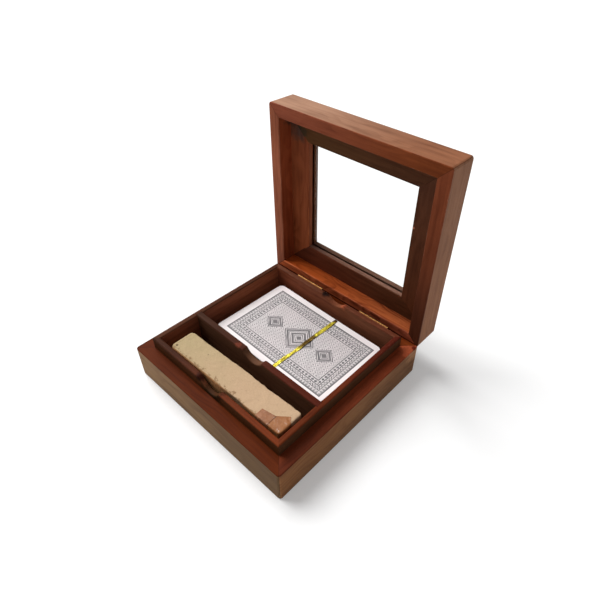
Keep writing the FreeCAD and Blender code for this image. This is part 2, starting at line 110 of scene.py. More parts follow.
class Paint(Nodes):
    """One material."""

    def __init__(self, name):
        self.material = bpy.data.materials.new(name)
        self.material.use_nodes = True
        super().__init__(self.material.node_tree)
        self.shader = self.tree.nodes["Principled BSDF"]
        self.output = self.tree.nodes["Material Output"]

    def finish(self, **values):
        """Sets the shader's sockets by name, with _ for a space."""
        for key, value in values.items():
            self.put(self.shader.inputs[key.replace("_", " ")], value)
        return self.material

    def vector(self, operation, *values):
        made = self.node("ShaderNodeVectorMath", enumerate(values), operation=operation)
        return made.outputs["Value" if operation in ("LENGTH", "DISTANCE") else "Vector"]

    def place(self):
        """The piece's own coordinates, in millimetres."""
        own = self.node("ShaderNodeTexCoord").outputs["Object"]
        return self.vector("MULTIPLY", own, (1 / MM, 1 / MM, 1 / MM))

    def normals(self):
        """The surface's own normal, as three numbers, which turn with the piece."""
        return self.split(self.node("ShaderNodeTexCoord").outputs["Normal"])

    def split(self, vector):
        return tuple(self.node("ShaderNodeSeparateXYZ", {0: vector}).outputs)

    def join(self, x, y, z):
        return self.node("ShaderNodeCombineXYZ", {0: x, 1: y, 2: z}).outputs[0]

    def away(self, value, level):
        return self.math("ABSOLUTE", self.math("SUBTRACT", value, level))

    def noise(self, vector, scale, detail=2.0, roughness=0.5, distortion=0.0):
        """Noise from about 0 to 1, with features of about 1 / scale millimetres. scale
        is one number or one for each axis."""
        scales = scale if isinstance(scale, tuple) else (scale, scale, scale)
        stretched = self.vector("MULTIPLY", vector, scales)
        values = {"Vector": stretched, "Scale": 1.0, "Detail": detail,
                  "Roughness": roughness, "Distortion": distortion}
        return self.node("ShaderNodeTexNoise", values).outputs["Fac"]

    def span(self, value, low, high, to_low=0.0, to_high=1.0):
        """value between low and high becomes a smooth step between the other two."""
        values = {"Value": value, "From Min": low, "From Max": high,
                  "To Min": to_low, "To Max": to_high}
        kind = {"interpolation_type": "SMOOTHSTEP"}
        return self.node("ShaderNodeMapRange", values, **kind).outputs["Result"]

    def ramp(self, value, stops):
        made = self.node("ShaderNodeValToRGB", {"Fac": value})
        points = made.color_ramp.elements
        while len(points) < len(stops):
            points.new(0.5)
        for point, (position, colour) in zip(points, stops):
            point.position = position
            point.color = (*colour, 1.0)
        return made.outputs["Color"]

    def mix(self, share, one, other, blend="MIX"):
        made = self.node("ShaderNodeMix", data_type="RGBA", blend_type=blend)
        self.put(made.inputs[0], share)
        self.put(made.inputs[6], one)
        self.put(made.inputs[7], other)
        return made.outputs[2]

    def tint(self, share, colour, factor):
        """colour, with a share of it multiplied by factor."""
        return self.mix(share, colour, self.mix(1.0, colour, factor, "MULTIPLY"))

    def bump(self, height, distance, strength=1.0, normal=None):
        values = {"Height": height, "Distance": distance * MM, "Strength": strength}
        if normal is not None:
            values["Normal"] = normal
        return self.node("ShaderNodeBump", values).outputs["Normal"]


def scaled(colour, by):
    return tuple(c * b for c, b in zip(colour, by))


# ------------------------------------ wood

HALF_X, HALF_Y = 61.5, 59.0            # the base's outer faces
LINER_X, LINER_Y = 53.4, 50.9          # the liner's outer faces
LEDGE_Z, LINER_TOP = 22.4, 30.4
RIM_Y, PANEL_Y, LID_BACK_Y = 57.7, 67.9, 77.0
LID_LOW, LID_MIDDLE, LID_TOP = 21.1, 80.1, 139.1
HINGE_SHADE_Z = 22.8                    # a dark line painted along the lowest edge of the open lid's back rim, as shade in the gap at the hinge

LYING_ENDS, UPRIGHT_ENDS = (-52.0, 52.0), (28.0, 132.0)    # where a board's tones end
WOOD_LEVEL = (1.87, 1.87, 1.87)        # the shades' mean brings the tones back down
SHADES = ((0.10, (0.21, 0.165, 0.145)), (0.50, (0.50, 0.50, 0.50)),
          (0.95, (0.76, 0.82, 0.85)))
MITRE_INK = (0.020, 0.006, 0.003)


def wood(name, grain, seed, tone, planes=(), joint="", marks=(), rings=3.4, sway=26.0,
         figure=0.25, contrast=0.75, worn_and_highlit_share=0.5, worn_and_highlit_tint=(1.9, 2.3, 2.6), painted_light_bands=()):
    """Oiled reddish hardwood with its grain along one axis. tone is its middle colour,
    and each of planes is (axis, level, tone) for a face with a tone of its own. A tone
    may be a pair, for the board's low and high ends. joint draws the mitres of the base
    or the lid. marks are (centre, radius, colour factor) of darker and lighter patches,
    among them worn places and painted light and shade. rings is the growth rings'
    pitch, sway how far they wander and figure how strongly they show.
    worn_and_highlit_share is how much of the arrises is lightened, partly as wear and
    partly as a painted highlight, and worn_and_highlit_tint the colour factor there.
    painted_light_bands are (axis, start, end, colour factor at the start) of painted
    light."""
    paint = Paint(name)
    at = paint.place()
    x, y, z = paint.split(at)
    turned = {"x": (x, y, z), "y": (y, x, z), "z": (z, x, y)}[grain]
    draw = random.Random(seed)
    shift = tuple(draw.uniform(-400, 400) for _ in range(3))
    along = paint.vector("ADD", paint.join(*turned), shift)

    # growth rings, wandering along the board and fading in and out
    wander = paint.noise(along, (0.016, 0.045, 0.045), 2.0)
    ripple = paint.noise(along, (0.05, 0.20, 0.20), 2.0)
    heart = tuple(s + draw.uniform(16, 30) * draw.choice((-1, 1)) for s in shift[1:])
    cross = paint.vector("MULTIPLY", along, (0.0, 1.0, 1.0))
    radius = paint.vector("DISTANCE", cross, (0.0, *heart))
    radius = paint.math("MULTIPLY_ADD", wander, sway, radius)
    radius = paint.math("MULTIPLY_ADD", ripple, 4.0, radius)
    ring = paint.math("FRACT", paint.math("DIVIDE", radius, rings))
    late = paint.math("MULTIPLY", paint.span(ring, 0.25, 0.85), paint.span(ring, 1.0, 0.88))
    fading = paint.noise(along, (0.012, 0.10, 0.10), 2.0)
    late = paint.math("MULTIPLY", late, paint.span(fading, 0.30, 0.65, 0.25, 1.0))

    # how light the wood is, about 0.5 in the middle
    fibre = paint.noise(along, (0.06, 1.7, 1.7), 4.0, 0.6)
    streak = paint.noise(along, (0.018, 0.42, 0.42), 3.0, 0.55)
    cloud = paint.noise(along, (0.03, 0.06, 0.06), 3.0, 0.5)
    pores = paint.span(paint.noise(along, (0.18, 4.0, 4.0), 2.0, 0.6), 0.62, 0.72)
    light = paint.math("MULTIPLY_ADD", late, -0.5 * figure, 0.50 + 0.13 * figure)
    for change, share in ((fibre, 0.42), (streak, 0.75), (cloud, 0.75)):
        light = paint.math("MULTIPLY_ADD", paint.math("SUBTRACT", change, 0.5),
                           share * contrast, light)
    light = paint.math("MULTIPLY_ADD", pores, -0.13, light)

    axes = {"x": x, "y": y, "z": z}
    ends = UPRIGHT_ENDS if grain == "z" else LYING_ENDS
    reach_along = paint.span(axes[grain], *ends)

    def graded(tones):
        if isinstance(tones[0], tuple):
            return paint.mix(reach_along, *tones)
        return paint.mix(0.0, tones, tones)

    colour = graded(tone)
    for axis, level, its_tone in planes:
        away = paint.away(axes[axis], level)
        colour = paint.mix(paint.span(away, 1.0, 0.3), colour, graded(its_tone))
    # painted light: colour factors that fade out along an axis
    for axis, start, end, factor in painted_light_bands:
        colour = paint.tint(paint.span(axes[axis], end, start), colour, factor)
    colour = paint.mix(1.0, colour, paint.ramp(light, SHADES), "MULTIPLY")
    colour = paint.mix(1.0, colour, WOOD_LEVEL, "MULTIPLY")
    if joint:
        middle, level = (LID_MIDDLE, z) if joint == "lid" else (0.0, y)
        up = paint.math("SUBTRACT", HALF_Y, paint.away(level, middle))
        side = paint.math("SUBTRACT", HALF_X, paint.math("ABSOLUTE", x))
        gap = paint.away(side, up)
        colour = paint.mix(paint.span(gap, 0.30, 0.05, 0.0, 0.55), colour, MITRE_INK)

    # arrises lightened where the surface faces no axis squarely, partly as wear and partly
    # as a painted highlight
    sides = [paint.math("ABSOLUTE", n) for n in paint.normals()]
    facing = paint.math("MAXIMUM", paint.math("MAXIMUM", *sides[:2]), sides[2])
    worn_and_highlit = paint.span(paint.noise(at, 0.12, 4.0), 0.42, 0.62)
    worn_and_highlit = paint.math("MULTIPLY", worn_and_highlit, paint.span(facing, 0.97, 0.86, 0.0, worn_and_highlit_share))
    colour = paint.tint(worn_and_highlit, colour, worn_and_highlit_tint)
    for centre, reach, factor in marks:
        far = paint.vector("DISTANCE", at, centre)
        wavy = paint.noise(at, min(0.35, 3.0 / reach), 3.0)
        far = paint.math("MULTIPLY_ADD", paint.math("SUBTRACT", wavy, 0.5), reach * 1.2, far)
        colour = paint.tint(paint.span(far, reach * 1.25, reach * 0.5), colour, factor)
    height = paint.math("MULTIPLY_ADD", pores, -0.7, paint.math("MULTIPLY", fibre, 0.6))
    return paint.finish(Base_Color=colour, Specular_IOR_Level=0.035,
                        Roughness=paint.math("MULTIPLY_ADD", fibre, 0.2, 0.4),
                        Normal=paint.bump(height, 0.05, 0.5))


# tones of faces, each one colour or the colours at a board's two ends: of the base's
# ledge, inside the liner, of faces out of sight, outside, on the liner's top, and round
# the glass. The outside tone is lighter and greyer, partly a drier finish and partly
# painted sheen of the white surroundings.
LEDGE = (0.094, 0.0165, 0.0028)
INSIDE = (0.150, 0.044, 0.019)
HIDDEN = (0.090, 0.024, 0.008)
OUTSIDE_DRY_AND_SHEEN = (0.200, 0.100, 0.055)
LINER_EDGE = (0.080, 0.027, 0.013)
JAMB = (0.100, 0.028, 0.013)
PANELS = {
    "front": ((0.095, 0.037, 0.011), (0.105, 0.038, 0.017)),
    "back": ((0.136, 0.034, 0.0155), (0.090, 0.030, 0.0125)),
    "left": ((0.350, 0.088, 0.030), (0.238, 0.060, 0.023)),
    "right": ((0.107, 0.032, 0.013), (0.115, 0.041, 0.020))}

# darker patches in and round the front liner's notch
NOTCH_DARKENING = (((1.0, -49.2, 25.5), 8.5, (0.34, 0.42, 0.36)),
                ((7.5, -49.2, 29.0), 3.0, (0.50, 0.50, 0.45)),
                ((-9.5, -49.2, 30.0), 3.0, (0.34, 0.28, 0.36)))
# painted shade on the back notch's left slope, and painted light on its right slope, which
# faces the key light
BACK_NOTCH_LIGHT_AND_SHADE = (((-6.2, 49.8, LINER_TOP), 2.9, (0.11, 0.11, 0.14)),
             ((9.4, 49.0, LINER_TOP), 3.2, (1.8, 1.4, 1.3)))
# a lighter patch on the ledge at its back right corner, and painted shade in the small
# corner by the lid
LEDGE_CORNER_PATCH_AND_SHADE = (((59.0, 55.0, LEDGE_Z), 9.0, (2.1, 2.3, 2.6)),
              ((60.8, 55.4, LEDGE_Z), 1.7, (0.35, 0.22, 0.25)))
WORN_DIVIDER = (((-12.5, -20.6, LINER_TOP), 2.4, (2.4, 1.9, 1.9)),)
# painted shade in the open lid's top left inner corner, under its top rail
PAINTED_CORNER_SHADE = (((-50.0, 67.0, 123.5), 7.2, (0.58, 0.85, 1.25)),
               ((-44.5, 67.0, 121.0), 6.0, (0.66, 0.88, 1.15)),
               ((-53.5, 67.5, 129.0), 5.0, (0.35, 0.60, 0.90)))
CHIP = (((39.9, PANEL_Y, 93.0), 0.75, (5.5, 6.0, 7.0)),
        ((39.4, PANEL_Y, 90.6), 0.5, (3.0, 3.4, 4.0)))


def base_planes(axis, level, tone, ledge=LEDGE):
    return ((axis, level, tone), ("z", 0.0, OUTSIDE_DRY_AND_SHEEN), ("z", LEDGE_Z, ledge))


def liner_planes(*planes, top=LINER_EDGE):
    return (*planes, ("z", LINER_TOP, top))


def lid_planes(axis, level, tone, rim):
    return ((axis, level, tone), ("y", LID_BACK_Y, OUTSIDE_DRY_AND_SHEEN), ("y", RIM_Y, rim))


def window_planes(side):
    """The faces of a window rail and its glazing bead, which are flush inside the lid."""
    return (("y", PANEL_Y, PANELS[side]), ("y", LID_BACK_Y, OUTSIDE_DRY_AND_SHEEN))


# The outside faces' own tones in this table are lighter and greyer too, partly painted
# sheen.
WOODS = {
    "base_front_rail": dict(
        grain="x", seed=11, joint="base", tone=HIDDEN,
        planes=base_planes("y", -HALF_Y, ((0.245, 0.130, 0.054), (0.145, 0.076, 0.030)))),
    "base_back_rail": dict(
        grain="x", seed=12, joint="base", tone=HIDDEN, marks=LEDGE_CORNER_PATCH_AND_SHADE,
        planes=base_planes("y", HALF_Y, OUTSIDE_DRY_AND_SHEEN)),
    "base_left_rail": dict(
        grain="y", seed=13, joint="base", tone=HIDDEN,
        planes=base_planes("x", -HALF_X, OUTSIDE_DRY_AND_SHEEN)),
    "base_right_rail": dict(
        grain="y", seed=14, joint="base", tone=HIDDEN, marks=LEDGE_CORNER_PATCH_AND_SHADE,
        # painted light on the ledge beside the liner, where the liner's shadow falls
        painted_light_bands=(("x", LINER_X, 58.0, (1.9, 1.9, 1.9)),),
        planes=base_planes("x", HALF_X, ((0.265, 0.112, 0.042), (0.250, 0.115, 0.050)),
                           ((0.108, 0.0215, 0.0078), (0.180, 0.0340, 0.0120)))),
    "bottom_board": dict(grain="x", seed=15, tone=(0.075, 0.030, 0.014)),
    "liner_front": dict(
        grain="x", seed=16, worn_and_highlit_share=0.2, tone=INSIDE, marks=NOTCH_DARKENING,
        planes=liner_planes(("y", -LINER_Y, (0.050, 0.016, 0.005)),
                            top=((0.055, 0.018, 0.0085), (0.155, 0.030, 0.0085)))),
    "liner_back": dict(
        grain="x", seed=17, tone=((0.240, 0.065, 0.030), (0.192, 0.068, 0.033)),
        marks=BACK_NOTCH_LIGHT_AND_SHADE,
        planes=liner_planes(top=((0.140, 0.048, 0.025), (0.130, 0.034, 0.016)))),
    "liner_left": dict(
        grain="y", seed=18, worn_and_highlit_share=0.2,
        tone=((0.240, 0.068, 0.035), (0.370, 0.110, 0.048)),
        planes=liner_planes()),
    "liner_right": dict(
        grain="y", seed=19, worn_and_highlit_share=0.2, tone=HIDDEN,
        planes=liner_planes(("x", LINER_X, (0.075, 0.030, 0.013)),
                            top=((0.150, 0.031, 0.0090), (0.088, 0.013, 0.0065)))),
    "divider": dict(
        grain="x", seed=20, worn_and_highlit_share=0.2, tone=(0.100, 0.042, 0.022), marks=WORN_DIVIDER,
        planes=liner_planes(top=((0.048, 0.018, 0.0095), (0.082, 0.014, 0.0065)))),
    "lid_front_rail": dict(
        grain="x", seed=21, joint="lid", tone=(0.240, 0.055, 0.017),
        worn_and_highlit_share=0.9, worn_and_highlit_tint=(0.42, 0.36, 0.34),
        planes=lid_planes("z", LID_TOP, ((0.400, 0.213, 0.132), (0.258, 0.098, 0.046)),
                          ((0.262, 0.066, 0.032), (0.187, 0.043, 0.012)))),
    "lid_back_rail": dict(
        grain="x", seed=22, joint="lid", rings=4.2, sway=78.0, figure=0.72, contrast=1.15,
        tone=((0.455, 0.083, 0.0155), (0.350, 0.084, 0.026)),
        planes=(("y", RIM_Y, ((0.540, 0.125, 0.042), (0.290, 0.066, 0.030))),
                # painted shade along the rim's lowest edge, in the gap by the hinge
                ("z", HINGE_SHADE_Z, (0.050, 0.006, 0.002)),
                ("z", LID_LOW, OUTSIDE_DRY_AND_SHEEN), ("y", LID_BACK_Y, OUTSIDE_DRY_AND_SHEEN))),
    "lid_left_rail": dict(
        grain="z", seed=23, joint="lid", tone=(0.293, 0.063, 0.022),
        planes=lid_planes("x", -HALF_X, OUTSIDE_DRY_AND_SHEEN, (0.330, 0.098, 0.048)),
        marks=PAINTED_CORNER_SHADE[2:]),
    "lid_right_rail": dict(
        grain="z", seed=24, joint="lid", tone=(0.325, 0.066, 0.019),
        planes=lid_planes("x", HALF_X, ((0.315, 0.130, 0.060), (0.285, 0.130, 0.070)),
                          ((0.080, 0.022, 0.010), (0.215, 0.053, 0.021)))),
    "window_front_rail": dict(
        grain="x", seed=25, joint="lid", tone=JAMB, marks=PAINTED_CORNER_SHADE,
        planes=window_planes("front")),
    "window_back_rail": dict(
        grain="x", seed=26, joint="lid", tone=(0.160, 0.078, 0.052),
        planes=window_planes("back")),
    "window_left_rail": dict(
        grain="z", seed=27, joint="lid", tone=(0.140, 0.048, 0.018), marks=PAINTED_CORNER_SHADE,
        planes=window_planes("left")),
    "window_right_rail": dict(
        grain="z", seed=28, joint="lid", tone=JAMB, marks=CHIP,
        planes=window_planes("right")),
    "glazing_bead_front": dict(
        grain="x", seed=31, tone=JAMB, planes=window_planes("front")),
    "glazing_bead_back": dict(
        grain="x", seed=32, tone=(0.245, 0.120, 0.083), planes=window_planes("back")),
    "glazing_bead_left": dict(
        grain="z", seed=33, tone=(0.330, 0.100, 0.045), planes=window_planes("left")),
    "glazing_bead_right": dict(
        grain="z", seed=34, tone=JAMB, marks=CHIP, planes=window_planes("right")),
}


# ------------------------------------ other materials

BRASS_DULLED, BRASS_TARNISH_AND_SHADE = (0.55, 0.48, 0.4), (0.22, 0.16, 0.14)      # factors
HINGE_TONE, NAIL_TONE = (0.62, 0.32, 0.12), (0.52, 0.34, 0.14)
GLASS_BODY, GLASS_PASSING = (0.98, 0.995, 0.985), (0.93, 0.97, 0.95)


def brass(name, tone, roughness):
    """Lacquered brass with fine scratches, bright on top and darker elsewhere: partly
    tarnish, partly painted shade that leaves a thin bright line on top.
    """
    paint = Paint(name)
    at = paint.place()
    patch = paint.noise(at, 0.5, 4.0, 0.6)
    scratch = paint.noise(at, (0.25, 9.0, 9.0), 2.0)
    colour = paint.ramp(paint.span(patch, 0.3, 0.7),
                        ((0.0, scaled(tone, BRASS_DULLED)), (1.0, tone)))
    # darker where the surface turns away from the top: tarnish and painted shade
    upward = paint.normals()[2]
    colour = paint.mix(paint.span(upward, 0.97, 0.84), colour,
                       scaled(tone, BRASS_TARNISH_AND_SHADE))
    return paint.finish(Base_Color=colour, Metallic=1.0,
                        Roughness=paint.math("MULTIPLY_ADD", scratch, 0.25, roughness),
                        Normal=paint.bump(scratch, 0.02, 0.4))


def glass(name):
    """Clear sheet glass with a faint green body, which lets the light past."""
    paint = Paint(name)
    smear = paint.noise(paint.place(), 0.08, 3.0)
    paint.finish(Base_Color=GLASS_BODY, Transmission_Weight=1.0, IOR=1.45,
                 Roughness=paint.span(smear, 0.45, 0.8, 0.0, 0.03))
    passed = paint.shader_of("ShaderNodeBsdfTransparent", {"Color": GLASS_PASSING})
    shadow_ray = paint.node("ShaderNodeLightPath").outputs["Is Shadow Ray"]
    mixed = paint.shader_of("ShaderNodeMixShader", {
        0: shadow_ray, 1: paint.shader.outputs[0], 2: passed})
    paint.put(paint.output.inputs["Surface"], mixed)
    return paint.material


CARD_X, CARD_Y = 44.45, 28.575         # half a card
CARD_CORNER = 3.2
PRINT_MIDDLE = (1.25, 0.10)            # of the printed area, from the card's middle
PRINT_X, PRINT_Y = 40.0, 24.1          # half of the printed area
PRINT_LOW = 19.0                       # only faces above this are printed
CARD_STOCK = ((0.86, 0.78, 0.78), (0.88, 0.83, 0.82))
CARD_INK = (0.030, 0.028, 0.033)

BORDER = 8.4                           # its width
BORDER_LINES = ((0.0, 0.50), (2.8, 0.22), (5.3, 0.30), (8.1, 0.34))  # depth, half width
TEETH, ZIGZAG = (0.3, 2.0, 2.2), (3.1, 2.0, 1.5)          # depth, period, height
TEETH_END = 2.5
ROW_DEPTH, ROW_PERIOD = 6.6, 2.5       # of the diamonds
LATTICE_CELL, LATTICE_SLANT = 4.8, 1.5
LATTICE_LINE, LATTICE_DOT = 0.30, 0.85                    # half width, radius
LOZENGES = ((-21.5, 7.4, 6.4), (21.5, 7.4, 6.4), (0.0, 12.6, 11.0))  # centre, half sizes
SMALL_LINES = ((0.2, 0.40), (1.6, 0.65), (3.0, 0.25))     # depth in a lozenge, half width
LARGE_LINES = (*SMALL_LINES, (4.7, 0.70), (6.2, 0.28))
HEART = 1.6
HATCH_PERIOD, HATCH_LINE = 0.9, 0.19
TEETH_INK, NET_INK, DOT_INK, HATCH_INK, FULL_INK = 0.72, 0.6, 0.8, 0.82, 0.92


def card_back(name):
    """White card stock printed in black with a plain geometric back: a saw-tooth border,
    a lattice of diamonds and three lozenges in a row."""
    paint = Paint(name)
    at = paint.place()
    x, y, z = paint.split(at)
    px = paint.math("SUBTRACT", x, PRINT_MIDDLE[0])
    py = paint.math("SUBTRACT", y, PRINT_MIDDLE[1])
    ax, ay = paint.math("ABSOLUTE", px), paint.math("ABSOLUTE", py)

    def stroke(distance, half):
        """Ink within half a line's width of distance 0."""
        return paint.span(paint.math("ABSOLUTE", distance), half + 0.05, half - 0.05)

    def inside(distance):
        """Ink where distance is below 0."""
        return paint.span(distance, 0.05, -0.05)

    def join(operation, inks):
        made = inks[0]
        for ink in inks[1:]:
            made = paint.math(operation, made, ink)
        return made

    def both(*inks):
        return join("MULTIPLY", inks)

    def either(*inks):
        return join("MAXIMUM", inks)

    def no(ink):
        return paint.math("SUBTRACT", 1.0, ink)

    def wave(value, period):
        """0 to half a period and back."""
        return paint.math("PINGPONG", value, period / 2)

    # how far inwards from the printed area's edge a point lies
    deep_x = paint.math("SUBTRACT", PRINT_X, ax)
    deep_y = paint.math("SUBTRACT", PRINT_Y, ay)
    deep = paint.math("MINIMUM", deep_x, deep_y)
    beside = paint.math("LESS_THAN", deep_x, deep_y)
    run = paint.math("MULTIPLY", beside, paint.math("SUBTRACT", py, px))
    run = paint.math("ADD", run, px)

    def at_depth(level):
        return paint.math("SUBTRACT", deep, level)

    def zigzag(level, period, height):
        """How far a point lies outside a zigzag line between level and level + height."""
        rise = paint.math("MULTIPLY", wave(run, period), 2 * height / period)
        return paint.math("SUBTRACT", at_depth(level), rise)

    # border: an edge line, saw teeth, a band of zigzags and lines, and a row of diamonds
    teeth = both(inside(zigzag(*TEETH)), inside(at_depth(TEETH_END)), TEETH_INK)
    lines = [stroke(at_depth(depth), half) for depth, half in BORDER_LINES]
    aside = paint.math("SUBTRACT", ROW_PERIOD / 2, wave(run, ROW_PERIOD))
    row = paint.math("MULTIPLY_ADD", aside, 0.9, paint.away(deep, ROW_DEPTH))
    row = inside(paint.math("SUBTRACT", row, 0.95))
    border = either(teeth, row, stroke(zigzag(*ZIGZAG), 0.34), *lines)
    border = both(border, inside(at_depth(BORDER)))

    # field: a lattice of diamonds with a dot in each
    lean = paint.math("MULTIPLY", py, LATTICE_SLANT)
    one = wave(paint.math("ADD", px, lean), LATTICE_CELL)
    other = wave(paint.math("SUBTRACT", px, lean), LATTICE_CELL)
    net = either(stroke(one, LATTICE_LINE), stroke(other, LATTICE_LINE))
    dot = paint.vector("LENGTH", paint.join(
        paint.math("SUBTRACT", one, LATTICE_CELL / 2),
        paint.math("SUBTRACT", other, LATTICE_CELL / 2), 0.0))
    dots = inside(paint.math("SUBTRACT", dot, LATTICE_DOT))
    ink = either(both(net, NET_INK), both(dots, DOT_INK))
    ink = both(ink, inside(paint.math("SUBTRACT", BORDER + 0.5, deep)))

    # three lozenges in a row, each of lines, a dark band and a small heart
    def lozenge(centre, half_x, half_y):
        """How far a point lies outside a lozenge."""
        sides = paint.math("DIVIDE", paint.away(px, centre), half_x)
        sides = paint.math("ADD", sides, paint.math("DIVIDE", ay, half_y))
        return paint.math("MULTIPLY", paint.math("SUBTRACT", sides, 1.0), half_y * 0.8)

    for centre, half_x, half_y in LOZENGES:
        edge = lozenge(centre, half_x, half_y)
        ink = both(ink, no(inside(edge)))
        lines = [stroke(paint.math("ADD", edge, depth), half)
                 for depth, half in (LARGE_LINES if half_x > 10 else SMALL_LINES)]
        heart = inside(paint.math("ADD", edge, half_y * 0.8 - HEART))
        ink = either(ink, both(inside(edge), either(*lines, heart)))
    ink = either(ink, border)
    # fine hatching between the lines, too fine to see singly
    slanted = wave(paint.math("ADD", px, py), HATCH_PERIOD)
    hatch = both(stroke(slanted, HATCH_LINE), no(ink))
    ink = paint.math("MULTIPLY_ADD", hatch, HATCH_INK, both(ink, FULL_INK))
    ink = both(ink, inside(paint.math("SUBTRACT", -0.4, deep)))
    ink = both(ink, inside(paint.math("SUBTRACT", PRINT_LOW, z)))

    # uneven ink on card stock with a linen surface
    fade = paint.noise(at, 0.05, 3.0)
    speck = paint.noise(at, 3.0, 2.0)
    ink = both(ink, paint.span(fade, 0.2, 0.8, 0.86, 1.0),
               paint.span(speck, 0.1, 0.5, 0.85, 1.0))
    colour = paint.mix(paint.span(fade, 0.35, 0.7), *CARD_STOCK)
    colour = paint.mix(ink, colour, CARD_INK)
    linen = paint.math("MULTIPLY", wave(x, 0.5), wave(y, 0.5))
    return paint.finish(Base_Color=colour, Roughness=0.42, Specular_IOR_Level=0.3,
                        Normal=paint.bump(linen, 0.02, 0.3))


LAYER_GREY, LAYER_WHITE = (0.42, 0.38, 0.36), (0.74, 0.70, 0.68)


def card_edges(name):
    """The cut edges of the cards: white paper layers, a little grey between them."""
    paint = Paint(name)
    at = paint.place()
    layer = paint.noise(at, (0.06, 0.06, 6.0), 3.0, 0.6)
    dirt = paint.noise(at, (0.12, 0.12, 0.4), 3.0)
    grey = paint.math("ADD", paint.math("MULTIPLY", layer, 0.6),
                      paint.math("MULTIPLY", dirt, 0.4))
    colour = paint.ramp(grey, ((0.25, LAYER_GREY), (0.6, LAYER_WHITE)))
    return paint.finish(Base_Color=colour, Roughness=0.7, Specular_IOR_Level=0.2)


FOIL_DULL, FOIL_BRIGHT = (0.43, 0.33, 0.020), (0.72, 0.62, 0.060)
FOIL_SHADE = (0.085, 0.034, 0.003)
TWIST_FRONT, TWIST_BACK = (-7.5, -3.0), (11.5, 7.5)       # where it turns brown, in y
END_BACK, END_FRONT = (24.6, 26.8), (-26.8, -28.2)


def foil(name):
    """Gold metallic ribbon: bright yellow where it lies flat, with painted shade, brown,
    where it twists over near the pack's middle and by its back edge, and in small creases
    all along."""
    paint = Paint(name)
    at = paint.place()
    y = paint.split(at)[1]
    patch = paint.noise(at, 0.30, 3.0, 0.6)
    crinkle = paint.noise(at, (1.6, 0.9, 1.6), 3.0, 0.6)
    along = paint.math("MULTIPLY_ADD", paint.math("SUBTRACT", patch, 0.5), 9.0, y)
    # painted shade where it twists, where it turns over the pack's edges and in its creases
    twist = paint.math("MULTIPLY", paint.span(along, *TWIST_FRONT),
                       paint.span(along, *TWIST_BACK))
    ends = paint.math("MAXIMUM", paint.span(along, *END_BACK),
                      paint.span(along, *END_FRONT, 0.0, 0.6))
    shadow = paint.math("MAXIMUM", paint.math("MULTIPLY", twist, 0.92), ends)
    crease = paint.span(crinkle, 0.43, 0.36)
    shadow = paint.math("MAXIMUM", shadow, paint.math("MULTIPLY", crease, 0.7))
    colour = paint.mix(paint.span(patch, 0.35, 0.6), FOIL_DULL, FOIL_BRIGHT)
    colour = paint.mix(shadow, colour, FOIL_SHADE)
    return paint.finish(Base_Color=colour, Metallic=0.7,
                        Roughness=paint.math("MULTIPLY_ADD", crinkle, 0.25, 0.22),
                        Normal=paint.bump(crinkle, 0.14, 0.6))


PACKET_MIDDLE = (3.4, -38.0, 16.9)
PACKET_HALF = (45.0, 8.45, 12.9)
PACKET_SPOTS = (((-42.2, -5.4, 12.9), 0.8, (0.07, 0.04, 0.02)),
                ((-22.8, 1.9, 12.9), 0.35, (0.07, 0.05, 0.03)),
                ((-1.0, 1.6, 12.9), 0.3, (0.30, 0.20, 0.11)),
                ((1.6, -2.6, 12.9), 0.35, (0.33, 0.22, 0.12)))    # centre, radius, colour
PAPER_LEFT, PAPER_RIGHT = (0.400, 0.315, 0.165), (0.500, 0.335, 0.205)
PAPER_FIBRE, PAPER_BLOTCH = (0.60, 0.44, 0.29), (0.36, 0.24, 0.15)
PAPER_DIRT, PAPER_FOLD_SHADE = (0.235, 0.135, 0.065), (0.26, 0.18, 0.09)
RIM_FRONT, RIM_BACK, RIM_END = (-7.6, -8.2), (7.6, 8.3), (-42.2, -43.6)    # y, y and x
RIM_DIRT_AND_SHADE_FRONT, RIM_DIRT_AND_SHADE_BACK = (0.270, 0.112, 0.036), (0.22, 0.13, 0.06)
RIM_DIRT_AND_SHADE_END = (0.26, 0.17, 0.08)
FOLD_X, FOLD_Y = -41.4, -5.6


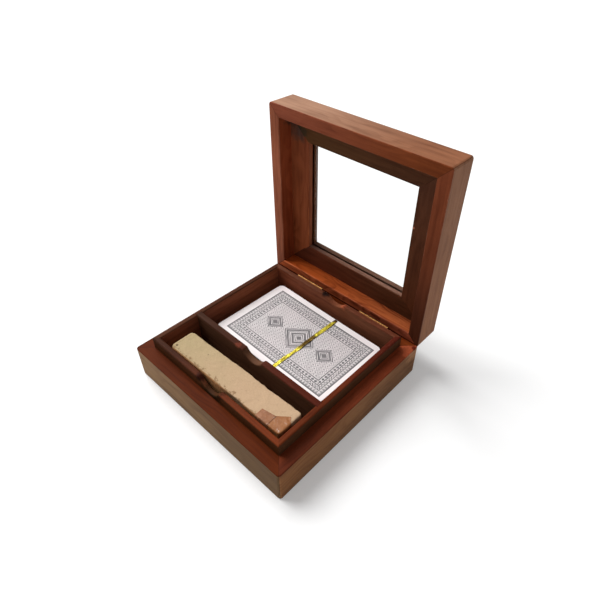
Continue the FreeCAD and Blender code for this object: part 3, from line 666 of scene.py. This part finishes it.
def kraft(name):
    """Soft beige wrapping paper: fibres, darker rims, partly dirt and partly painted shade,
    fold lines with painted shade, and dirt towards the front edge.
    """
    paint = Paint(name)
    at = paint.place()
    x, y = paint.split(at)[:2]
    fibre = paint.noise(at, 1.4, 4.0, 0.7)
    cloud = paint.noise(at, (0.06, 0.09, 0.09), 3.0)
    blotch = paint.noise(at, 0.45, 4.0, 0.65)
    tone = paint.span(paint.math("MULTIPLY_ADD", cloud, 46.0, x), -32.0, 42.0)
    colour = paint.mix(tone, PAPER_LEFT, PAPER_RIGHT)
    colour = paint.mix(paint.span(fibre, 0.3, 0.75, 0.0, 0.35), colour, PAPER_FIBRE)
    colour = paint.mix(paint.span(blotch, 0.60, 0.74, 0.0, 0.45), colour, PAPER_BLOTCH)
    # handling dirt: spots that close up towards the front edge. Thin dark rims on the
    # rounded edges, partly dirt and partly painted shade where they turn down.
    rise = paint.math("MULTIPLY_ADD", y, 0.060, 0.925)
    dirt = paint.span(paint.math("SUBTRACT", blotch, rise), 0.0, 0.06, 0.0, 0.75)
    colour = paint.mix(dirt, colour, PAPER_DIRT)
    ragged_y = paint.math("MULTIPLY_ADD", paint.math("SUBTRACT", blotch, 0.5), 2.0, y)
    ragged_x = paint.math("MULTIPLY_ADD", blotch, 3.0, x)
    for ragged, rim, share, ink in ((ragged_y, RIM_FRONT, 0.85, RIM_DIRT_AND_SHADE_FRONT),
                                    (ragged_y, RIM_BACK, 0.45, RIM_DIRT_AND_SHADE_BACK),
                                    (ragged_x, RIM_END, 0.5, RIM_DIRT_AND_SHADE_END)):
        colour = paint.mix(paint.span(ragged, *rim, 0.0, share), colour, ink)
    # painted shade along fold lines by the left end and along the front of the left half
    fold = paint.away(paint.math("MULTIPLY_ADD", cloud, 3.0, x), FOLD_X)
    crease = paint.span(fold, 0.35, 0.10, 0.0, 0.35)
    fold = paint.away(paint.math("MULTIPLY_ADD", cloud, 2.4, y), FOLD_Y)
    front = paint.math("MULTIPLY", paint.span(fold, 0.35, 0.10, 0.0, 0.35),
                       paint.span(x, -8.0, -16.0))
    colour = paint.mix(paint.math("MAXIMUM", crease, front), colour, PAPER_FOLD_SHADE)
    for spot, reach, ink in PACKET_SPOTS:
        far = paint.vector("DISTANCE", at, spot)
        far = paint.math("MULTIPLY_ADD", fibre, 0.5, far)
        colour = paint.mix(paint.span(far, reach + 0.4, reach, 0.0, 0.9), colour, ink)
    height = paint.math("MULTIPLY_ADD", blotch, 0.6, paint.math("MULTIPLY", fibre, 0.4))
    crumple = paint.noise(at, (0.16, 0.20, 0.20), 4.0, 0.55, 1.2)
    soft = paint.bump(paint.span(paint.away(crumple, 0.5), 0.0, 0.12), 0.40, 0.25)
    return paint.finish(Base_Color=colour, Roughness=0.82, Specular_IOR_Level=0.12,
                        Normal=paint.bump(height, 0.12, 0.5, soft))


FILM_LEFT = ((0.250, 0.102, 0.045), (0.330, 0.145, 0.072))
FILM_RIGHT = ((0.270, 0.100, 0.033), (0.340, 0.142, 0.056))
FILM_FOLD, FILM_FOLD_X = (0.10, 0.032, 0.012), 36.0


def film(name, tones):
    """Brown packing tape, a little glossy, with wrinkles and a dark fold."""
    paint = Paint(name)
    at = paint.place()
    x, y = paint.split(at)[:2]
    wrinkle = paint.noise(at, 0.45, 3.0, 0.6, 0.6)
    cloud = paint.noise(at, 0.35, 3.0)
    colour = paint.mix(paint.span(cloud, 0.35, 0.65), *tones)
    fold = paint.away(paint.math("MULTIPLY_ADD", y, 0.05, x), FILM_FOLD_X)
    colour = paint.mix(paint.span(fold, 0.42, 0.12, 0.0, 0.7), colour, FILM_FOLD)
    glint = paint.span(paint.noise(at, 0.9, 2.0), 0.60, 0.68, 0.0, 0.9)
    return paint.finish(Base_Color=colour, Specular_IOR_Level=0.15,
                        Roughness=paint.math("MULTIPLY_ADD", glint, -0.3, 0.42),
                        Coat_Weight=glint, Coat_Roughness=0.06,
                        Normal=paint.bump(wrinkle, 0.26, 0.5))


# ------------------------------------ mesh helpers

def add_object(name, mesh, shape, material, smooth=True):
    """An object of the mesh, which takes its shape from a bmesh."""
    shape.to_mesh(mesh)
    shape.free()
    if smooth:
        mesh.shade_smooth()
    else:
        mesh.shade_flat()
    mesh.materials.append(material)
    made = bpy.data.objects.new(name, mesh)
    scene.collection.objects.link(made)
    return made


def piece(name, points, faces, material, smooth=True):
    """An object from points in millimetres."""
    mesh = bpy.data.meshes.new(name)
    mesh.from_pydata([Vector(p) * MM for p in points], [], faces)
    shape = bmesh.new()
    shape.from_mesh(mesh)
    bmesh.ops.recalc_face_normals(shape, faces=shape.faces)
    return add_object(name, mesh, shape, material, smooth)


def stand(made, middle, yaw=0.0):
    """Puts a piece's own origin at middle, in millimetres, turned by yaw degrees."""
    made.location = Vector(middle) * MM
    made.rotation_euler = (0, 0, math.radians(yaw))
    return made


def tie(made, body, slot, *replaced):
    """Names a piece's body and hides the CAD nodes that it replaces. slot is not used."""
    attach(made, body)
    if replaced:
        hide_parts(*replaced)


def clamp(value):
    return max(0.0, min(1.0, value))


def noise_at(place, along, across, shift=0.0):
    """Smooth noise from about -1 to 1, with one scale along x and one across it."""
    return field.noise(Vector((place.x * along + shift, place.y * across,
                               place.z * across)))


def drawn_in(x, y, half_x, half_y, corner):
    """A point of a rectangle, drawn in if it lies in one of the round corners."""
    over_x, over_y = abs(x) - (half_x - corner), abs(y) - (half_y - corner)
    if over_x <= 0 or over_y <= 0:
        return x, y
    shrink = max(over_x, over_y) / math.hypot(over_x, over_y)
    return (math.copysign(half_x - corner + over_x * shrink, x),
            math.copysign(half_y - corner + over_y * shrink, y))


def line(start, end, steps):
    """Points from start to end, without start."""
    return [tuple(a + (b - a) * k / steps for a, b in zip(start, end))
            for k in range(1, steps + 1)]


# ------------------------------------ cards and ribbon

PACK_MIDDLE = (1.15, 15.0, 0.0)
PACK_YAW, TOP_CARD_YAW = -1.2, -0.9    # degrees
PACK_BOTTOM, PACK_TOP, CARD_TOP = 4.25, 19.85, 20.17
CARD_COUNT = 48
CARD_GAP = 0.02
CARD_EDGE = 0.05                       # the softened edge of a sheet
TOP_CARD_THICK = 0.26
SLIP_X, SLIP_Y, SLIP_TURN = 0.22, 0.16, 0.14       # how untidily the pack is stacked

RIBBON_X = 7.3                         # its middle, along the pack
RIBBON_WIDTH, RIBBON_THICK = 2.1, 0.05
RIBBON_REACH = CARD_Y + 0.45           # its outer front and back
RIBBON_TOP, RIBBON_LOW = CARD_TOP + 0.12, PACK_BOTTOM - 0.13
RIBBON_FOLD = 0.42                     # how high its creases stand


def card_outline(inset, steps=6):
    """A card's edge, anticlockwise from its right side."""
    half_x, half_y, corner = CARD_X - inset, CARD_Y - inset, CARD_CORNER - inset
    points = []
    for sign_x, sign_y, start in ((1, 1, 0), (-1, 1, 90), (-1, -1, 180), (1, -1, 270)):
        for step in range(steps + 1):
            angle = math.radians(start + 90 * step / steps)
            points.append((sign_x * (half_x - corner) + corner * math.cos(angle),
                           sign_y * (half_y - corner) + corner * math.sin(angle)))
    return points


def card_stack(material):
    """The cards under the top one, each a sheet of its own with softened edges."""
    draw = random.Random(5)
    points, faces = [], []
    pitch = (PACK_TOP - PACK_BOTTOM) / CARD_COUNT
    for index in range(CARD_COUNT):
        low = PACK_BOTTOM + index * pitch
        high = low + pitch - CARD_GAP
        dx, dy = draw.uniform(-SLIP_X, SLIP_X), draw.uniform(-SLIP_Y, SLIP_Y)
        turn = Matrix.Rotation(math.radians(draw.uniform(-SLIP_TURN, SLIP_TURN)), 2)
        first = len(points)
        rings = ((low, CARD_EDGE), (low + CARD_EDGE, 0.0), (high - CARD_EDGE, 0.0),
                 (high, CARD_EDGE))
        for level, inset in rings:
            outline = card_outline(inset)
            for point in outline:
                across = turn @ Vector(point)
                points.append((across.x + dx, across.y + dy, level))
        count = len(outline)
        last = len(points) - count
        for ring in range(first, last, count):
            for k in range(count):
                a, b = ring + k, ring + (k + 1) % count
                faces.append((a, b, b + count, a + count))
        faces.append(tuple(reversed(range(first, first + count))))
        faces.append(tuple(range(last, last + count)))
    made = piece("card_stack", points, faces, material, smooth=False)
    return stand(made, PACK_MIDDLE, PACK_YAW)


def card_bow(x, y):
    """How far the top card lifts off the pack: nothing under the ribbon, a little at
    its ends and corners."""
    away = abs(x - RIBBON_X) / 50.0
    return 0.34 * away * away + 0.10 * away * (y / CARD_Y) ** 2


def top_card(material):
    """The top card, bowed a little, as a closed sheet with a fine grid."""
    columns, rows = 44, 30
    points, faces = [], []
    for level in (PACK_TOP + CARD_GAP, PACK_TOP + CARD_GAP + TOP_CARD_THICK):
        for j in range(rows + 1):
            for i in range(columns + 1):
                x, y = (2 * i / columns - 1) * CARD_X, (2 * j / rows - 1) * CARD_Y
                x, y = drawn_in(x, y, CARD_X, CARD_Y, CARD_CORNER)
                points.append((x, y, level + card_bow(x, y)))

    def at(spot, side):
        i, j = spot
        return (side * (rows + 1) + j) * (columns + 1) + i

    for i in range(columns):
        for j in range(rows):
            spots = ((i, j), (i + 1, j), (i + 1, j + 1), (i, j + 1))
            for side in (0, 1):
                faces.append([at(spot, side) for spot in spots])
    rim = [(i, 0) for i in range(columns)] + [(columns, j) for j in range(rows)]
    rim += [(columns - i, rows - j) for i, j in rim]
    for spot, following in zip(rim, rim[1:] + rim[:1]):
        faces.append((at(spot, 0), at(following, 0), at(following, 1), at(spot, 1)))
    made = piece("card_on_top", points, faces, material)
    made.data.set_sharp_from_angle(angle=math.radians(40))
    return stand(made, PACK_MIDDLE, TOP_CARD_YAW)


def ribbon_path():
    """The way round the pack, as (y, z) points, with rounded upper edges."""
    top, low, reach = RIBBON_TOP, RIBBON_LOW, RIBBON_REACH
    start = (-reach, top - 1.0)
    path = [start, (0.35 - reach, top - 0.25), (1.1 - reach, top)]
    path += line(path[-1], (reach - 1.1, top), 110)
    path += [(reach - 0.35, top - 0.25), (reach, top - 1.0)]
    path += line(path[-1], (reach, low + 0.6), 8)
    path += [(reach - 0.5, low)]
    path += line(path[-1], (0.5 - reach, low), 24)
    path += [(-reach, low + 0.6)]
    path += line(path[-1], start, 8)[:-1]
    return path


def ribbon(material):
    """A narrow foil ribbon tied round the pack. Its cross-section is creased, and the
    creases wander along it."""
    path = ribbon_path()
    across = 9
    points, faces = [], []
    for index, (y, z) in enumerate(path):
        before, after = path[index - 1], path[(index + 1) % len(path)]
        along = Vector((after[0] - before[0], after[1] - before[1])).normalized()
        # it's smooth where it lies tight round the pack's edges and underneath
        loose = clamp((RIBBON_REACH - 0.8 - abs(y)) / 3.0) if z > CARD_TOP - 0.2 else 0.0
        swell = 0.35 + 0.9 * field.noise(Vector((0.0, y * 0.16, 3.7)))
        width = RIBBON_WIDTH + loose * swell
        sway = 0.35 * loose * field.noise(Vector((9.1, y * 0.05, 0.4)))
        for side in (-0.5, 0.5):
            for k in range(across):
                u = 2 * k / (across - 1) - 1
                fold = 0.55 + field.noise(Vector((u * 1.1, y * 0.22, 1.3)))
                fold += 0.45 * field.noise(Vector((u * 2.6, y * 0.62, 7.7)))
                lift = max(0.0, fold) * RIBBON_FOLD * loose + side * RIBBON_THICK
                points.append((RIBBON_X + sway + u * width / 2, y - along.y * lift,
                               z + along.x * lift))
    step = 2 * across
    for index in range(len(path)):
        a, b = index * step, (index + 1) % len(path) * step
        for k in range(across - 1):
            faces.append((a + k, b + k, b + k + 1, a + k + 1))
            faces.append((a + across + k, a + across + k + 1, b + across + k + 1,
                          b + across + k))
        faces.append((a, a + across, b + across, b))
        faces.append((a + across - 1, b + across - 1, b + step - 1, a + step - 1))
    made = piece("ribbon_round_pack", points, faces, material, smooth=False)
    return stand(made, PACK_MIDDLE, PACK_YAW)


# ------------------------------------ packet and tape

PACKET_YAW = 0.9                       # degrees
PACKET_ROUND = 0.9                     # radius of its long edges
PACKET_CORNER_LEFT, PACKET_CORNER_RIGHT = 3.2, 1.4
PACKET_PITCH = 0.8                     # of its mesh
DENT_FRONT, DENT_BACK = (12.0, 9.0, 0.55), (-27.0, 13.0, 0.8)      # x, width, depth

TAPE_BOTTOM = -1.0                     # where the strips end, in the packet's own height
TAPE_THICK = 0.06
TAPE_LEFT = (((27.4, -3.15), (36.6, -1.65)), ((27.5, -12.0), (27.4, -3.0)),
             ((36.9, 9.0), (36.9, -12.0)))
TAPE_RIGHT = (((35.9, -1.85), (42.0, 2.95)), ((36.1, -12.0), (36.1, 4.0)),
              ((42.0, 2.95), (46.0, -1.4)))


def packet_point(axis, sign, u, v):
    """A point of the packet's skin and its outward normal, on the side that the axis
    and the sign name. u and v run from -1 to 1 across the side."""
    shares = [u, v]
    shares.insert(axis, sign)
    place = Vector(share * half for share, half in zip(shares, PACKET_HALF))
    core = Vector(max(PACKET_ROUND - half, min(half - PACKET_ROUND, at))
                  for at, half in zip(place, PACKET_HALF))
    if place.z < 0:
        core.z = place.z               # the bottom edges stay square: it stands on them
    outward = (place - core).normalized()
    place = core + outward * PACKET_ROUND
    # the wrapped stack inside: hollows between its edges, creases, and uneven long sides
    lump = noise_at(place, 0.06, 0.10)
    small = noise_at(place, 0.26, 0.33, 5.0)
    crease = 1.0 - abs(noise_at(place, 0.10, 0.17, 31.0)) * 7.0
    inwards = 0.26 + 0.20 * lump + 0.09 * small - 0.14 * max(0.0, crease)
    front, back = max(0.0, -outward.y), max(0.0, outward.y)
    inwards += back * (0.22 + 0.60 * lump + 0.40 * small) - front * 0.16
    upper = clamp((place.z - 2.0) / 8.0)
    for side, (middle, width, depth) in ((front, DENT_FRONT), (back, DENT_BACK)):
        dent = math.exp(-((place.x - middle) / width) ** 2)
        inwards += side * upper * depth * dent
    place = place - outward * max(0.02, inwards)
    corner = PACKET_CORNER_LEFT if place.x < 0 else PACKET_CORNER_RIGHT
    place.x, place.y = drawn_in(place.x, place.y, *PACKET_HALF[:2], corner)
    return place, outward


def end_fold(u, v):
    """How far inwards the paper lies at the packet's ends, where two side flaps go under
    two long ones."""
    across, height = abs(u) * PACKET_HALF[1], abs(v) * PACKET_HALF[2]
    flap = PACKET_HALF[2] - height - across * 0.9
    return 0.28 * (1.0 - clamp((4.0 - flap) / 0.7)) * (1.0 - abs(v) ** 8)


def packet(material):
    """The packet's paper skin, one closed mesh, with folded ends."""
    name = "packet_paper"
    made = bmesh.new()
    for axis in range(3):
        columns, rows = (max(6, round(2 * PACKET_HALF[k] / PACKET_PITCH))
                         for k in range(3) if k != axis)
        for sign in (-1, 1):
            grid = {}
            for i in range(columns + 1):
                for j in range(rows + 1):
                    u, v = 2 * i / columns - 1, 2 * j / rows - 1
                    point, outward = packet_point(axis, sign, u, v)
                    if axis == 0:
                        point -= outward * end_fold(u, v)
                    grid[i, j] = made.verts.new(point * MM)
            for i in range(columns):
                for j in range(rows):
                    made.faces.new((grid[i, j], grid[i + 1, j], grid[i + 1, j + 1],
                                    grid[i, j + 1]))
    bmesh.ops.remove_doubles(made, verts=made.verts, dist=0.02 * MM)
    bmesh.ops.recalc_face_normals(made, faces=made.faces)
    body = add_object(name, bpy.data.meshes.new(name), made, material)
    return stand(body, PACKET_MIDDLE, PACKET_YAW)


def tape_strip(source, name, cuts, lift, material):
    """One strip of tape: the packet's skin inside all the cuts, moved out by lift. A
    cut is two points on the packet's top, and the strip lies to the right of it."""
    made = bmesh.new()
    made.from_mesh(source.data)
    planes = [(Vector((*a, 0)), Vector((b[1] - a[1], a[0] - b[0], 0))) for a, b in cuts]
    planes.append((Vector((0, 0, TAPE_BOTTOM)), Vector((0, 0, 1))))
    for place, inward in planes:
        everything = made.verts[:] + made.edges[:] + made.faces[:]
        bmesh.ops.bisect_plane(made, geom=everything, plane_co=place * MM,
                               plane_no=inward, clear_inner=True, dist=1e-7)
    bmesh.ops.subdivide_edges(made, edges=made.edges[:], cuts=1, use_grid_fill=True)
    made.normal_update()
    rim = {v for e in made.edges if e.is_boundary for v in e.verts}
    for vertex in made.verts:
        at = vertex.co / MM
        wave = field.noise(at * 0.9) * 0.05 + field.noise(at * 0.35) * 0.05
        curl = 0.10 if vertex in rim else 0.0
        vertex.co += vertex.normal * (lift + TAPE_THICK + wave + curl) * MM
    made.normal_update()
    bmesh.ops.solidify(made, geom=made.faces[:], thickness=TAPE_THICK * MM)
    strip = add_object(name, bpy.data.meshes.new(name), made, material)
    return stand(strip, PACKET_MIDDLE, PACKET_YAW)


# ------------------------------------ floor, light, camera

def make_floor():
    half = FLOOR_SIDE / 2
    corners = [(x, y, -FLOOR_DROP) for x, y in
               ((-half, -half), (half, -half), (half, half), (-half, half))]
    paint = Paint("floor_white")
    paint.finish(Base_Color=FLOOR_ALBEDO, Roughness=0.9, Specular_IOR_Level=0.0)
    strength = paint.math("MULTIPLY", paint.showing(), FLOOR_GLOW)
    glow = paint.shader_of("ShaderNodeEmission", {"Color": WHITE, "Strength": strength})
    both = paint.shader_of("ShaderNodeAddShader", {0: paint.shader.outputs[0], 1: glow})
    paint.put(paint.output.inputs["Surface"], both)
    floor = piece("floor", corners, [(0, 1, 2, 3)], paint.material, smooth=False)


def make_world():
    """Even light from all round, which itself shows as white."""
    world = bpy.data.worlds.new("studio")
    scene.world = world
    world.use_nodes = True
    world.node_tree.nodes.clear()
    sky = Nodes(world.node_tree)
    soft = sky.shader_of("ShaderNodeBackground", {"Color": WHITE, "Strength": WORLD_LIGHT})
    white = sky.shader_of("ShaderNodeBackground", {"Color": WHITE, "Strength": 1.0})
    mixed = sky.shader_of("ShaderNodeMixShader", {0: sky.showing(), 1: soft, 2: white})
    sky.node("ShaderNodeOutputWorld", {"Surface": mixed})


def make_key():
    """A soft sun that gives a level surface its share of the plain light level."""
    source = Vector(KEY_FROM).normalized()
    light = bpy.data.lights.new("key", "SUN")
    light.energy = KEY_SHARE * math.pi / source.z
    light.angle = math.radians(KEY_SPREAD)
    lamp = bpy.data.objects.new("key", light)
    scene.collection.objects.link(lamp)
    lamp.location = source
    lamp.rotation_euler = source.to_track_quat("Z", "Y").to_euler()


def make_camera():
    lens = bpy.data.cameras.new("camera")
    lens.lens = CAMERA_LENS
    lens.sensor_width = CAMERA_SENSOR
    lens.shift_x, lens.shift_y = CAMERA_SHIFT
    lens.clip_start = CAMERA_NEAR
    camera = bpy.data.objects.new("camera", lens)
    scene.collection.objects.link(camera)
    camera.location = CAMERA_PLACE
    camera.rotation_euler = [math.radians(angle) for angle in CAMERA_TURN]
    scene.camera = camera
    scene.view_settings.view_transform = "Standard"


# ------------------------------------ put it together

def dress(node, material):
    """Gives a CAD node its material."""
    node.data.materials.clear()
    node.data.materials.append(material)


for node_name, settings in WOODS.items():
    dress(nodes[node_name], wood(node_name + "_wood", **settings))
hinge_brass = brass("hinge_brass", HINGE_TONE, 0.45)
nail_brass = brass("nail_brass", NAIL_TONE, 0.42)
for node_name, node in nodes.items():
    if "hinge" in node_name:
        dress(node, nail_brass if "nails" in node_name else hinge_brass)
dress(nodes["glass_pane"], glass("window_glass"))

tie(card_stack(card_edges("card_edge_paper")), "cards", "card_edges", "card_pack")
tie(top_card(card_back("card_back_print")), "cards", "card_back", "top_card")
tie(ribbon(foil("gold_foil")), "cards", "ribbon", "pack_ribbon")

wrapped = packet(kraft("wrapping_paper"))
left_tape = tape_strip(wrapped, "packet_tape_left", TAPE_LEFT, 0.0,
                       film("packing_tape_left", FILM_LEFT))
right_tape = tape_strip(wrapped, "packet_tape_right", TAPE_RIGHT, 0.1,
                        film("packing_tape_right", FILM_RIGHT))
tie(wrapped, "packet", "kraft_paper", "paper_packet")
tie(left_tape, "packet", "tape", "packet_tape")
tie(right_tape, "packet", "tape")

make_floor()
make_world()
make_key()
make_camera()
